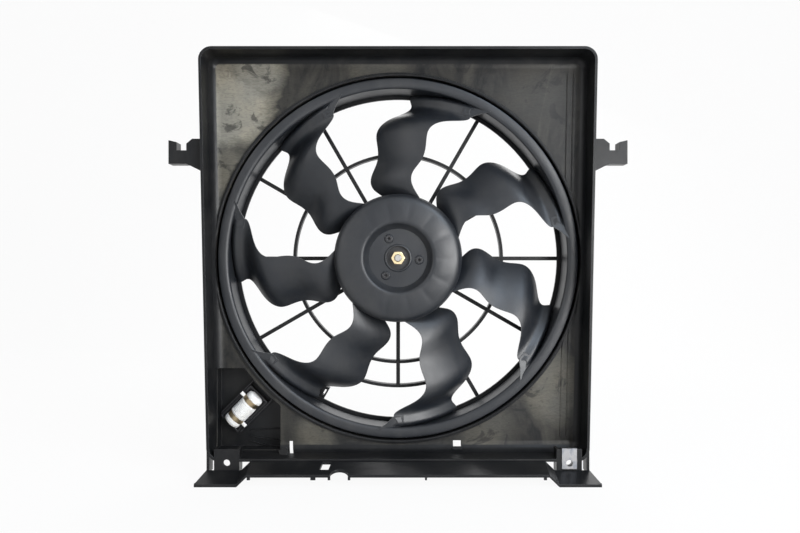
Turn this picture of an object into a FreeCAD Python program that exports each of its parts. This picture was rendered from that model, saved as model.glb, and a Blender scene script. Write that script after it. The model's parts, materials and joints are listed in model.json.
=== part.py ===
"""Radiator fan shroud: moulded tray and barrel, stator guard, banded fan, motor and resistor.

Frame, in millimetres: +Z up, the fan turns about the Y axis, and the rim that meets the
radiator lies in the plane Y = 0. Air enters from -Y and leaves towards +Y.
"""

import FreeCAD, Part
import math
import os
import re

import Sketcher
from FreeCAD import Placement, Rotation, Vector

# Driving dimensions: name, millimetres or degrees, meaning.
SIZES = {
    # Tray
    "wall": (2.8, "wall of the moulding"),
    "rim_half_top": (205.7, "half width of the rim at its top edge"),
    "rim_half_bottom": (196.7, "half width of the rim at its bottom edge"),
    "rim_top": (217.4, "height of the rim above the fan axis"),
    "rim_bottom": (209.8, "depth of the rim below the fan axis"),
    "tray_depth": (33.0, "rim plane to the front face of the panel"),
    "draft": (3.0, "angle by which the walls lean in towards the panel"),
    "corner_radius": (13.5, "outer radius at the corners and between wall and panel"),
    "lip_width": (3.2, "width of the raised lip round the orifice"),
    "lip_height": (2.2, "height of that lip above the panel"),
    # Orifice and barrel
    "orifice_radius": (194.8, "bore of the orifice round the band's flange"),
    "bulge_start": (20.0, "rim plane to the start of the orifice's bulge in the corner rounding"),
    "barrel_radius": (187.6, "bore of the barrel round the band"),
    "orifice_depth": (9.0, "depth of the orifice before it narrows"),
    "narrowing": (5.0, "length of the cone between orifice and barrel"),
    "barrel_end_gap": (2.4, "gap behind the fan band"),
    "opening_radius": (178.1, "radius of the opening in the rear lip"),
    # Resistor pocket in the lower left corner
    "pocket_top": (115.0, "top of the pocket below the fan axis"),
    "pocket_right": (123.0, "right side of the pocket from the fan axis"),
    "pocket_depth": (20.0, "depth of the pocket behind the panel"),
    "pocket_gap": (1.6, "space between pocket wall and barrel"),
    # Lower shelf, feet and bosses
    "shelf_reach": (25.0, "how far the shelf stands in front of the rim"),
    "shelf_fall": (7.8, "how far the shelf drops towards its edge"),
    "foot_drop": (9.6, "step from the shelf down to the feet"),
    "foot_inner": (151.0, "where the shelf steps down to a foot"),
    "foot_slope": (10.0, "width of that step"),
    "foot_flare": (6.5, "how far a foot's front corner stands out"),
    "boss_inner": (163.0, "inner side of a lower boss"),
    "boss_outer": (189.0, "outer side of a lower boss"),
    "boss_top": (197.0, "top of a lower boss below the fan axis"),
    "boss_plate": (3.0, "thickness of a boss plate"),
    "boss_depth": (16.0, "depth of a boss behind the rim plane"),
    "notch_x": (58.7, "round notch in the shelf's edge left of the centre line"),
    "notch_radius": (9.0, "radius of that notch"),
    "harness_x": (74.0, "harness slot in the shelf left of the centre line"),
    "window_x": (63.0, "panel window right of the centre line"),
    "slot_x": (113.6, "slanted slot left of the centre line"),
    "bolt_x": (176.0, "lower bolt holes from the centre line"),
    "bolt_z": (211.0, "lower bolt holes below the fan axis"),
    "bolt_hole_radius": (3.5, "radius of the lower bolt holes"),
    # Side hooks
    "hook_z": (104.5, "middle of a side hook above the fan axis"),
    "hook_base": (14.0, "depth of a hook's base on the side wall"),
    "hook_reach": (18.5, "length of a hook's arm beyond its base"),
    "hook_arm": (14.0, "height of a hook's arm"),
    "hook_rise": (10.5, "height of a hook's upturned end"),
    "hook_tip": (8.5, "width of a hook's upturned end"),
    "hook_width": (16.0, "width of a hook along the fan axis"),
    "hook_start": (8.0, "rim plane to the front of a hook"),
    # Stator guard
    "guard_depth": (10.0, "depth of the guard's ribs"),
    "spoke_width": (4.3, "width of a spoke"),
    "guard_ring": (116.4, "mean radius of the guard ring"),
    "guard_arc": (143.5, "mean radius of the short lower arc"),
    "arc_width": (3.4, "width of the ring and of the arc"),
    "spoke_overlap": (6.0, "how far a spoke runs over the rear lip"),
    "motor_seat_inner": (47.5, "bore of the motor seat"),
    "motor_seat_outer": (66.0, "outer radius of the motor seat"),
    # Fan
    "blade_count": (7, "number of blades"),
    "flange_radius": (190.0, "outer radius of the band's front flange"),
    "band_outer": (184.4, "outer radius of the band"),
    "band_wall": (2.2, "wall of the band"),
    "band_depth": (38.0, "depth of the band"),
    "flange_depth": (5.0, "depth of the band's front flange"),
    "hub_radius": (69.0, "outer radius of the hub"),
    "hub_wall": (2.6, "wall of the hub"),
    "hub_depth": (36.0, "depth of the hub skirt"),
    "hub_rise": (6.0, "how far the hub's face stands before its shoulder"),
    "hub_shoulder": (9.0, "width of the rounded shoulder"),
    "recess_radius": (37.5, "radius of the recess in the hub"),
    "recess_depth": (5.5, "depth of that recess"),
    "hub_bore": (12.6, "radius of the opening round the shaft nut"),
    "blade_thickness": (2.2, "thickness of a blade"),
    "blade_camber": (3.6, "camber of a blade"),
    "hub_lead": (5.0, "flange plane to a blade's leading edge at the hub"),
    "tip_lead": (2.0, "flange plane to a blade's leading edge at the band"),
    "hub_trail": (32.0, "flange plane to a blade's trailing edge at the hub"),
    "tip_trail": (35.5, "flange plane to a blade's trailing edge at the band"),
    "hub_rib": (1.8, "thickness of the ribs inside the hub"),
    "hub_screw_circle": (22.9, "radius of the circle of hub screws"),
    "hub_screw_angle": (-5.0, "angle of the first hub screw"),
    "hub_screw_radius": (2.0, "shank radius of a hub screw"),
    "hub_screw_head": (3.6, "head radius of a hub screw"),
    "plate_radius": (32.0, "radius of the steel drive plate"),
    "plate_thickness": (2.5, "thickness of the drive plate"),
    "nut_flats": (13.0, "width across flats of the shaft nut"),
    "nut_height": (6.5, "height of the shaft nut"),
    "washer_height": (1.2, "thickness of the washer under the nut"),
    # Motor
    "shaft_radius": (4.0, "radius of the motor shaft"),
    "shaft_clearance": (0.05, "running clearance round the shaft"),
    "can_radius": (46.0, "outer radius of the motor can"),
    "can_wall": (1.8, "sheet of the motor can"),
    "can_front": (16.0, "flange plane to the front of the motor can"),
    "can_length": (52.0, "length of the motor can"),
    "boss_radius": (13.0, "radius of the bearing bosses"),
    "boss_length": (4.5, "how far the bearing bosses stand out"),
    "bearing_radius": (11.0, "outer radius of the bearings"),
    "bearing_length": (7.0, "length of the bearings"),
    "core_radius": (31.5, "radius of the armature core"),
    "core_length": (22.0, "length of the armature core"),
    "air_gap": (1.0, "gap between armature and magnets"),
    "magnet_length": (28.0, "length of the field magnets"),
    "magnet_angle": (68.0, "angle that a field magnet covers"),
    "slot_count": (12, "armature slots"),
    "commutator_radius": (12.0, "radius of the commutator"),
    "commutator_length": (11.0, "length of the commutator"),
    "slot_width": (6.4, "width of an armature slot"),
    "winding_length": (6.0, "length of the end turns"),
    "brush_gap": (0.35, "gap between brush and commutator"),
    "brush_length": (11.0, "length of a brush"),
    "ear_circle": (57.5, "radius of the circle of motor screws"),
    "ear_angle": (45.0, "angle of the first motor screw"),
    "ear_radius": (6.0, "radius of a mounting ear"),
    "ear_thickness": (2.0, "sheet of the mounting flange"),
    "motor_screw_radius": (2.5, "shank radius of a motor screw"),
    "motor_screw_head": (4.6, "head radius of a motor screw"),
    # Resistor
    "resistor_x": (167.0, "middle of the resistor left of the fan axis"),
    "resistor_z": (163.5, "middle of the resistor below the fan axis"),
    "resistor_radius": (9.3, "radius of the ceramic body"),
    "resistor_length": (41.0, "length of the ceramic body"),
    "resistor_waist": (8.3, "radius of the ceramic under a band"),
    "resistor_height": (10.6, "resistor axis in front of the pocket floor"),
    "band_place": (11.5, "clamp bands from the middle of the resistor"),
    "clamp_width": (4.6, "width of a clamp band"),
    "lug_reach": (5.5, "length of a clamp band's lug"),
    "carrier_half": (13.0, "half width of the resistor carrier"),
    "carrier_floor": (1.2, "floor of the resistor carrier"),
    # Clip nut
    "clip_half": (7.7, "half width of the clip nut"),
    "clip_sheet": (1.0, "sheet of the clip nut"),
}

# Sizes that follow from the driving ones.
DERIVED = {
    "taper": "(rim_half_top - rim_half_bottom) / (rim_top + rim_bottom)",
    "draft_run": "panel_back * tan(draft)",
    "panel_back": "tray_depth + wall",
    "flange_front": "tray_depth",
    "band_back": "flange_front + band_depth",
    "band_inner": "band_outer - band_wall",
    "lip_front": "band_back + barrel_end_gap",
    "lip_back": "lip_front + wall",
    "guard_back": "lip_back + guard_depth",
    "step_back": "tray_depth + orifice_depth",
    "shelf_top": "-rim_bottom + wall * 0.4",
    "foot_top": "shelf_top - foot_drop",
    "hub_face": "flange_front - hub_rise + 4",
    "hub_back": "flange_front + hub_depth",
    "recess_floor": "hub_face + recess_depth",
    "plate_front": "recess_floor + hub_wall",
    "plate_back": "plate_front + plate_thickness",
    "nut_front": "plate_front - washer_height - nut_height",
    "can_start": "flange_front + can_front",
    "can_end": "can_start + can_length",
    "can_inner": "can_radius - can_wall",
    "magnet_inner": "core_radius + air_gap",
    "core_start": "can_start + 9",
    "core_end": "core_start + core_length",
    "commutator_end": "core_end + winding_length + commutator_length - 1",
    "pocket_floor": "tray_depth + pocket_depth",
    "resistor_y": "pocket_floor - resistor_height",
}

GUARD_SPOKES = (0, 30, 60, 120, 150, 180, 210, 240, 300, 330)
SHORT_SPOKE = 270

# One blade, root to tip: share of the way from hub to band, then the angles in degrees
# of its leading and trailing edges about the fan axis.
BLADE_STATIONS = (
    (0.00, 17.5, 52.0),
    (0.10, 27.0, 57.6),
    (0.23, 28.8, 57.2),
    (0.36, 25.0, 51.0),
    (0.50, 24.7, 49.1),
    (0.63, 25.2, 48.4),
    (0.76, 19.4, 41.6),
    (0.89, 11.4, 33.6),
    (1.00, 6.5, 28.5),
)

doc = FreeCAD.newDocument("RadiatorFanShroud")
sheet = doc.addObject("Spreadsheet::Sheet", "Sizes")
for row, (size_name, (number, meaning)) in enumerate(SIZES.items(), start=1):
    sheet.set("A%d" % row, size_name)
    sheet.set("B%d" % row, str(number))
    sheet.set("C%d" % row, meaning)
    sheet.setAlias("B%d" % row, size_name)
doc.recompute()

parts = []


def bind(text):
    """Turn the plain size names of an expression into references to the sheet."""
    def refer(match):
        word = match.group()
        if word in DERIVED:
            return "(" + bind(DERIVED[word]) + ")"
        return "Sizes." + word if word in SIZES else word
    return re.sub(r"[a-z][a-z_0-9]*", refer, str(text))


def value(text):
    """The number that an expression has now."""
    return float(sheet.evalExpression(bind(text)))


def new_body(label, kept=True):
    """A body; one that isn't kept only shapes another body."""
    body = doc.addObject("PartDesign::Body", label)
    body.AllowCompound = True
    if kept:
        parts.append(body)
    return body


def sketch_on(body, role, distance="0"):
    """A sketch on one of the body's origin planes, moved along that plane's normal."""
    plane = next(item for item in body.Origin.OriginFeatures if item.Role == role)
    sketch = body.newObject("Sketcher::SketchObject", body.Name + "_sketch")
    sketch.AttachmentSupport = [(plane, "")]
    sketch.MapMode = "FlatFace"
    sketch.setExpression("AttachmentOffset.Base.z", bind(distance))
    return sketch


def front_sketch(body, depth="0"):
    """A sketch seen from the front, x to the right and y up, at a depth behind the rim."""
    return sketch_on(body, "XZ_Plane", "-(%s)" % depth)


def outline(sketch, points, arcs=None):
    """A closed outline through points given as expressions; arcs maps a side's number to
    its radius, positive where the arc runs counterclockwise."""
    arcs = arcs or {}
    first = sketch.GeometryCount
    spots = [Vector(value(x), value(y), 0) for x, y in points]
    count = len(spots)
    ends = []
    for side in range(count):
        start, end = spots[side], spots[(side + 1) % count]
        if side not in arcs:
            sketch.addGeometry(Part.LineSegment(start, end), False)
            ends.append((1, 2))
            continue
        radius = value(arcs[side])
        turn = 1 if radius > 0 else -1
        chord = end - start
        half = chord.Length / 2
        across = Vector(-chord.y, chord.x, 0).normalize() * turn
        rise = math.sqrt(max(radius * radius - half * half, 0))
        centre = (start + end) * 0.5 + across * rise
        middle = centre - across * abs(radius)
        sketch.addGeometry(Part.Arc(start, middle, end), False)
        ends.append((1, 2) if turn > 0 else (2, 1))
        sketch.setExpression("Constraints[%d]" % sketch.addConstraint(
            Sketcher.Constraint("Radius", first + side, abs(radius))), bind("abs(%s)" % arcs[side]))
    for side in range(count):
        following = (side + 1) % count
        sketch.addConstraint(Sketcher.Constraint(
            "Coincident", first + side, ends[side][1], first + following, ends[following][0]))
    for side, (x, y) in enumerate(points):
        for kind, text in (("DistanceX", x), ("DistanceY", y)):
            number = sketch.addConstraint(Sketcher.Constraint(
                kind, -1, 1, first + side, ends[side][0], value(text)))
            sketch.setExpression("Constraints[%d]" % number, bind(text))


def circle(sketch, x, y, radius):
    """A full circle whose centre and radius are expressions."""
    geometry = sketch.addGeometry(
        Part.Circle(Vector(value(x), value(y), 0), Vector(0, 0, 1), value(radius)), False)
    for kind, text in (("DistanceX", x), ("DistanceY", y)):
        number = sketch.addConstraint(Sketcher.Constraint(kind, -1, 1, geometry, 3, value(text)))
        sketch.setExpression("Constraints[%d]" % number, bind(text))
    number = sketch.addConstraint(Sketcher.Constraint("Radius", geometry, value(radius)))
    sketch.setExpression("Constraints[%d]" % number, bind(radius))


def feature(body, kind, sketch, **settings):
    made = body.newObject("PartDesign::" + kind, body.Name + "_" + kind.lower())
    made.Profile = sketch
    made.Refine = False
    for name, setting in settings.items():
        setattr(made, name, setting)
    body.Tip = made
    return made


def pad(body, sketch, length, kind="Pad", backwards=True):
    """Push a front sketch backwards, towards +Y, or forwards."""
    made = feature(body, kind, sketch)
    made.setExpression("Length", bind(length))
    made.Reversed = backwards if kind == "Pad" else not backwards
    return made


def extrude(body, start, end, points, arcs=None, kind="Pad"):
    """Add or cut an outline seen from the front, between two depths."""
    sketch = front_sketch(body, start)
    outline(sketch, points, arcs)
    return pad(body, sketch, "(%s) - (%s)" % (end, start), kind)


def disc(body, start, end, radius, x="0", z="0", bore=None, kind="Pad"):
    """Add or cut a disc or ring along the fan's direction, between two depths."""
    sketch = front_sketch(body, start)
    circle(sketch, x, z, radius)
    if bore is not None:
        circle(sketch, x, z, bore)
    return pad(body, sketch, "(%s) - (%s)" % (end, start), kind)


def revolve(body, points, kind="Revolution", arcs=None):
    """Turn a profile of (radius, depth) points about the fan axis."""
    sketch = sketch_on(body, "XY_Plane")
    outline(sketch, points, arcs)
    return feature(body, kind, sketch, ReferenceAxis=(sketch, ["V_Axis"]), Angle=360)


def turned(label, points, arcs=None):
    body = new_body(label)
    revolve(body, points, arcs=arcs)
    return body


def round_edges(body, radius, chosen, kind="Fillet"):
    """Round or bevel the edges of the body for which chosen(edge) is true."""
    doc.recompute()
    base = body.Tip
    names = ["Edge%d" % number for number, edge in enumerate(base.Shape.Edges, start=1)
             if chosen(edge)]
    made = body.newObject("PartDesign::" + kind, body.Name + "_" + kind.lower())
    made.Base = (base, names)
    made.setExpression("Radius" if kind == "Fillet" else "Size", bind(radius))
    body.Tip = made
    return made


def around(body, features, count):
    """Repeat features evenly about the fan axis."""
    doc.recompute()
    pattern = body.newObject("PartDesign::PolarPattern", body.Name + "_around")
    pattern.Originals = features
    axis = next(item for item in body.Origin.OriginFeatures if item.Role == "Y_Axis")
    pattern.Axis = (axis, [""])
    pattern.Angle = 360
    pattern.setExpression("Occurrences", bind(count))
    body.Tip = pattern
    return pattern


def turned_point(radius, angle, across="0"):
    """Front-view place at a radius and angle, moved across that direction."""
    return ("(%s) * cos(%s) - (%s) * sin(%s)" % (radius, angle, across, angle),
            "(%s) * sin(%s) + (%s) * cos(%s)" % (radius, angle, across, angle))


def bar(body, angle, inner, outer, width, start, end, kind="Pad", across="0"):
    """Add or cut a straight radial bar seen from the front."""
    low, high = "(%s) - (%s) / 2" % (across, width), "(%s) + (%s) / 2" % (across, width)
    corners = [turned_point(inner, angle, low), turned_point(outer, angle, low),
               turned_point(outer, angle, high), turned_point(inner, angle, high)]
    return extrude(body, start, end, corners, kind=kind)


def mirrored(points, side):
    """Outline points for the left (-1) or right (1) side, kept in turning order."""
    if side > 0:
        return list(points)
    return [("-(%s)" % x, y) for x, y in reversed(points)]


def rim_outline(inset):
    """Corners of the rim's outline, moved in by a wall."""
    half_bottom = "rim_half_bottom + taper * (%s) - (%s)" % (inset, inset)
    half_top = "rim_half_top - taper * (%s) - (%s)" % (inset, inset)
    low, high = "(%s) - rim_bottom" % inset, "rim_top - (%s)" % inset
    return [("-(%s)" % half_bottom, low), (half_bottom, low), (half_top, high),
            ("-(%s)" % half_top, high)]


def runs_to(edge, depth):
    """True for an edge that runs from the rim plane to a depth."""
    return abs(edge.BoundBox.YLength - value(depth)) < 0.01


def lies_at(edge, depth):
    """True for an edge that lies flat at a depth."""
    box = edge.BoundBox
    return box.YLength < 0.01 and abs(box.YMin - value(depth)) < 0.01


def make_tray():
    """The moulded tray: drafted walls, panel, orifice, resistor pocket and lower details."""
    body = new_body("shroud_tray")
    drafted_block(body, "0", "panel_back", "corner_radius")
    disc(body, "bulge_start", "panel_back", "orifice_radius + wall")
    points, arcs = pocket_outline("0")
    extrude(body, "tray_depth", "pocket_floor + wall", points, arcs)
    add_side_hooks(body)
    cut = body.newObject("PartDesign::Boolean", body.Name + "_cut")
    cut.Type = "Cut"
    cut.Refine = False
    cut.setObjects([make_cavity()])
    body.Tip = cut
    disc(body, "tray_depth - lip_height", "tray_depth + 1",
         "orifice_radius + lip_width", bore="orifice_radius")
    add_bosses(body)
    cut_tray_slots(body)
    return body


def drafted_block(body, inset, depth, radius):
    """A block between the rim plane and a depth, with leaning sides and rounded edges."""
    block = extrude(body, "0", depth, rim_outline(inset))
    block.setExpression("TaperAngle", bind("-draft"))
    round_edges(body, radius, lambda edge: runs_to(edge, depth) or lies_at(edge, depth))


def make_cavity():
    """The hollow of the tray, its orifice and the resistor pocket."""
    body = new_body("tray_cavity", kept=False)
    drafted_block(body, "wall", "tray_depth", "corner_radius - wall")
    disc(body, "bulge_start + wall", "panel_back + 1", "orifice_radius")
    points, arcs = pocket_outline("wall")
    extrude(body, "tray_depth - 10", "pocket_floor", points, arcs)
    return body


def pocket_outline(inset):
    """The resistor pocket: two straight sides, the tray's side wall and an arc round the barrel."""
    ring = "(orifice_radius + wall + pocket_gap + %s)" % inset
    left = "-(rim_half_bottom - draft_run + taper * 60 - %s)" % inset
    right, top = "-(pocket_right + %s)" % inset, "-(pocket_top + %s)" % inset
    bottom = "-(rim_bottom - draft_run - %s)" % inset
    return [(left, bottom), (right, bottom),
            (right, "-sqrt(%s ^ 2 - (pocket_right + %s) ^ 2)" % (ring, inset)),
            ("-sqrt(%s ^ 2 - (pocket_top + %s) ^ 2)" % (ring, inset), top), (left, top)], {2: "-" + ring}


def add_side_hooks(body):
    """Hooks on both side walls that hang the tray on the radiator's side brackets."""
    for side in (-1, 1):
        root, base = "rim_half_top - taper * rim_top - 6", "rim_half_top + hook_base"
        low, high = "hook_z - hook_arm / 2", "hook_z + hook_arm / 2"
        end = "%s + hook_reach" % base
        points = [(root, "hook_z - 19"), (base, low), (end, low),
                  (end, "%s + hook_rise" % high), ("%s - hook_tip" % end, "%s + hook_rise - 2" % high),
                  ("%s - hook_tip" % end, high), (base, high), (base, "%s + 7" % high),
                  ("%s - 6" % base, "%s + 12" % high), (root, "%s + 12" % high)]
        extrude(body, "hook_start", "hook_start + hook_width", mirrored(points, side))


def add_bosses(body):
    """Plates in the rim plane that carry the lower bolts, each on two ribs."""
    for side in (-1, 1):
        for inner, outer, back in (("boss_inner", "boss_outer", "boss_plate"),
                                   ("rim_half_bottom - wall", "rim_half_bottom", "boss_depth"),
                                   ("boss_inner", "boss_inner + wall", "boss_depth"),
                                   ("boss_outer - wall", "boss_outer", "boss_depth")):
            points = [(inner, "foot_top - wall"), (outer, "foot_top - wall"),
                      (outer, "-boss_top"), (inner, "-boss_top")]
            extrude(body, "0", back, mirrored(points, side))
        points = [("boss_inner + wall", "-(rim_bottom + wall)"), ("boss_outer - wall", "-(rim_bottom + wall)"),
                  ("boss_outer - wall", "-boss_top"), ("boss_inner + wall", "-boss_top")]
        extrude(body, "boss_plate", "boss_depth", mirrored(points, side), kind="Pocket")
        disc(body, "-1", "boss_plate + 1", "bolt_hole_radius",
             x="%d * bolt_x" % side, z="-bolt_z", kind="Pocket")


def cut_tray_slots(body):
    """The square window in the panel's lower edge and the slanted slot in the bottom wall."""
    points = [("window_x - 4.2", "-(boss_top + 4.5)"), ("window_x + 4.2", "-(boss_top + 4.5)"),
              ("window_x + 4.2", "-(boss_top - 2)"), ("window_x - 4.2", "-(boss_top - 2)")]
    extrude(body, "tray_depth - 9", "panel_back + 1", points, kind="Pocket")
    sketch = sketch_on(body, "XY_Plane", "-rim_bottom - 4")
    outline(sketch, [("-slot_x", "tray_depth - 12"), ("-slot_x + 3.5", "tray_depth - 12"),
                     ("-slot_x + 0.5", "panel_back + 1"), ("-slot_x - 3", "panel_back + 1")])
    cut = feature(body, "Pocket", sketch, Reversed=True)
    cut.setExpression("Length", bind("18"))


def make_shelf():
    """The lower shelf and feet, a strip stepped down at both ends that slopes to its edge."""
    body = new_body("lower_shelf")
    sections = []
    for depth, fall, flare in (("0", "0", "0"), ("-shelf_reach", "shelf_fall", "foot_flare")):
        half = "(rim_half_bottom + %s)" % flare
        steps = [("foot_inner", "shelf_top - %s" % fall),
                 ("foot_inner + foot_slope", "foot_top - %s" % fall), (half, "foot_top - %s" % fall)]
        under = [(x, z + " - wall") for x, z in reversed(steps)]
        top = [("-(%s)" % x, z) for x, z in reversed(steps)]
        bottom = [("-(%s)" % x, z) for x, z in reversed(under)]
        sketch = front_sketch(body, depth)
        outline(sketch, steps + under + bottom + top)
        sections.append(sketch)
    loft_between(body, "AdditiveLoft", sections)
    cut_down(body, lambda sketch: circle(sketch, "-notch_x", "-shelf_reach", "notch_radius"))
    cut_down(body, lambda sketch: outline(sketch, [
        ("-harness_x - 5", "-16"), ("-harness_x + 4", "-16"), ("-harness_x + 6", "-2"),
        ("-harness_x - 3", "-2")]))
    edge = "shelf_top - shelf_fall - wall"
    for x, width in (("-notch_x - 26", "5"), ("-notch_x - notch_radius - 1", "2.5"),
                     ("-notch_x + notch_radius + 1", "2.5"), ("-(foot_inner - 2)", "3"),
                     ("foot_inner - 4", "3"), ("28", "2")):
        left, right = "%s - %s / 2" % (x, width), "%s + %s / 2" % (x, width)
        extrude(body, "-shelf_reach", "-shelf_reach + 2.4", [
            (left, edge + " - 2.6"), (right, edge + " - 2.6"), (right, edge + " + 1"),
            (left, edge + " + 1")])
    return body


def cut_down(body, draw):
    """Cut an outline seen from above down through the shelf."""
    sketch = sketch_on(body, "XY_Plane", "shelf_top + 5")
    draw(sketch)
    cut = feature(body, "Pocket", sketch)
    cut.setExpression("Length", bind("shelf_fall + 15"))


def loft_between(body, kind, sketches):
    made = body.newObject("PartDesign::" + kind, body.Name + "_loft")
    made.Profile = sketches[0]
    made.Sections = sketches[1:]
    made.Ruled = True
    body.Tip = made
    return made


def make_barrel():
    """The barrel behind the panel: a step in from the orifice, a plain bore and a rear lip."""
    turned("shroud_barrel", [
        ("orifice_radius", "panel_back"), ("orifice_radius + wall", "panel_back"),
        ("orifice_radius + wall", "step_back"), ("barrel_radius + wall", "step_back + narrowing"),
        ("barrel_radius + wall", "lip_back"), ("opening_radius", "lip_back"),
        ("opening_radius", "lip_front"), ("barrel_radius", "lip_front"),
        ("barrel_radius", "step_back + narrowing"), ("orifice_radius", "step_back")])


def make_guard():
    """The stator guard: motor seat, spokes, ring and short arc, on the barrel's rear lip."""
    body = new_body("stator_guard")
    disc(body, "lip_back", "guard_back", "motor_seat_outer", bore="motor_seat_inner")
    for angle in GUARD_SPOKES:
        bar(body, str(angle), "motor_seat_outer - 2", "opening_radius + spoke_overlap", "spoke_width",
            "lip_back", "guard_back")
    bar(body, str(SHORT_SPOKE), "motor_seat_outer - 2", "guard_arc", "spoke_width",
        "lip_back", "guard_back")
    disc(body, "lip_back", "guard_back", "guard_ring + arc_width / 2",
         bore="guard_ring - arc_width / 2")
    inner, outer = "guard_arc - arc_width / 2", "guard_arc + arc_width / 2"
    start, end = SHORT_SPOKE - 30, SHORT_SPOKE + 30
    corners = [turned_point(inner, str(start)), turned_point(outer, str(start)),
               turned_point(outer, str(end)), turned_point(inner, str(end))]
    extrude(body, "lip_back", "guard_back", corners, {1: "(%s)" % outer, 3: "-(%s)" % inner})
    bar(body, "240", "opening_radius - 13", "opening_radius + spoke_overlap", "13",
        "lip_back", "guard_back")
    for across in ("-3.6", "3.6"):
        bar(body, "240", "opening_radius - 10", "opening_radius - 3", "1.8",
            "lip_back - 1", "guard_back + 1", kind="Pocket", across=across)
    screw = disc(body, "lip_back - 1", "guard_back + 1", "motor_screw_radius",
                 x="ear_circle * cos(ear_angle)", z="ear_circle * sin(ear_angle)", kind="Pocket")
    around(body, [screw], "3")


def make_fan():
    """Hub, blades and band of the fan moulding."""
    hub = turned("fan_hub", [
        ("hub_bore", "recess_floor"), ("recess_radius - 1.5", "recess_floor"),
        ("recess_radius", "hub_face - 0.8"), ("recess_radius + 2.5", "hub_face - 1.2"),
        ("hub_radius - hub_shoulder", "hub_face + 0.8"), ("hub_radius - 2.5", "hub_face + 3.2"),
        ("hub_radius", "hub_face + hub_rise + 1.5"), ("hub_radius", "hub_back"),
        ("hub_radius - hub_wall", "hub_back"), ("hub_radius - hub_wall", "hub_face + hub_rise + 3"),
        ("hub_radius - hub_shoulder", "hub_face + 0.8 + hub_wall"),
        ("recess_radius + 3", "hub_face + 1.6"), ("recess_radius + 2.6", "plate_front"),
        ("hub_bore", "plate_front")])
    rib = bar(hub, "0", "plate_radius + 1.5", "hub_radius - hub_wall / 2", "hub_rib",
              "plate_front - 0.2", "plate_front + 5")
    around(hub, [rib], "2 * blade_count")
    hole = disc(hub, "recess_floor - 1", "plate_front + 1", "hub_screw_radius",
                x="hub_screw_circle * cos(hub_screw_angle)",
                z="hub_screw_circle * sin(hub_screw_angle)", kind="Pocket")
    around(hub, [hole], "3")

    turned("fan_band", [
        ("band_inner", "flange_front + 3"), ("band_inner + 1.5", "flange_front + 0.6"),
        ("band_inner + 4", "flange_front"), ("flange_radius - 1", "flange_front"),
        ("flange_radius", "flange_front + 1"), ("flange_radius", "flange_front + flange_depth"),
        ("flange_radius - 1.8", "flange_front + flange_depth"),
        ("flange_radius - 2.2", "flange_front + band_wall"),
        ("band_outer + 1", "flange_front + band_wall + 0.8"),
        ("band_outer", "flange_front + band_wall + 2"), ("band_outer", "band_back"),
        ("band_inner", "band_back")])
    make_blades()


def make_blades():
    """The blades, one twisted and cambered skin thickened and repeated round the hub."""
    blades = doc.addObject("Part::Feature", "fan_blades")
    blade = blade_solid()
    step = 360 / value("blade_count")
    copies = []
    for number in range(int(value("blade_count"))):
        copy = blade.copy()
        copy.rotate(Vector(), Vector(0, -1, 0), number * step)
        copies.append(copy)
    blades.Shape = Part.makeCompound(copies)
    parts.append(blades)


def blade_skin(offset):
    """One face of a blade, through points from leading to trailing edge at each station."""
    hub, tip = value("hub_radius") - 1.5, value("band_inner") + 1.0
    rows = []
    for share, lead_angle, trail_angle in BLADE_STATIONS:
        radius = hub + (tip - hub) * share
        lead = value("flange_front + hub_lead") * (1 - share) + value("flange_front + tip_lead") * share
        trail = value("flange_front + hub_trail") * (1 - share) + value("flange_front + tip_trail") * share
        row = []
        for chord in (0, 0.25, 0.5, 0.75, 1):
            angle = math.radians(lead_angle + (trail_angle - lead_angle) * chord)
            bulge = 4 * chord * (1 - chord)
            depth = lead + (trail - lead) * chord - value("blade_camber") * bulge
            depth += offset * (0.55 + 0.45 * bulge)
            row.append(Vector(radius * math.cos(angle), depth, radius * math.sin(angle)))
        rows.append(row)
    surface = Part.BSplineSurface()
    surface.interpolate(rows)
    return surface


def blade_solid():
    """A blade cut to meet the hub's skirt and the band's bore."""
    half = value("blade_thickness") / 2
    front, back = blade_skin(-half).toShape(), blade_skin(half).toShape()
    sides = [Part.makeRuledSurface(a, b) for a, b in zip(front.Edges, back.Edges)]
    shell = Part.makeShell([front, back] + sides)
    shell.sewShape()
    solid = Part.makeSolid(shell)
    if solid.Volume < 0:
        solid.reverse()
    depth = value("band_depth") + 20
    start = Vector(0, value("flange_front") - 10, 0)
    ring = Part.makeCylinder(value("band_inner"), depth, start, Vector(0, 1, 0)).cut(
        Part.makeCylinder(value("hub_radius"), depth, start, Vector(0, 1, 0)))
    return solid.common(ring).Solids[0]


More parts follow.
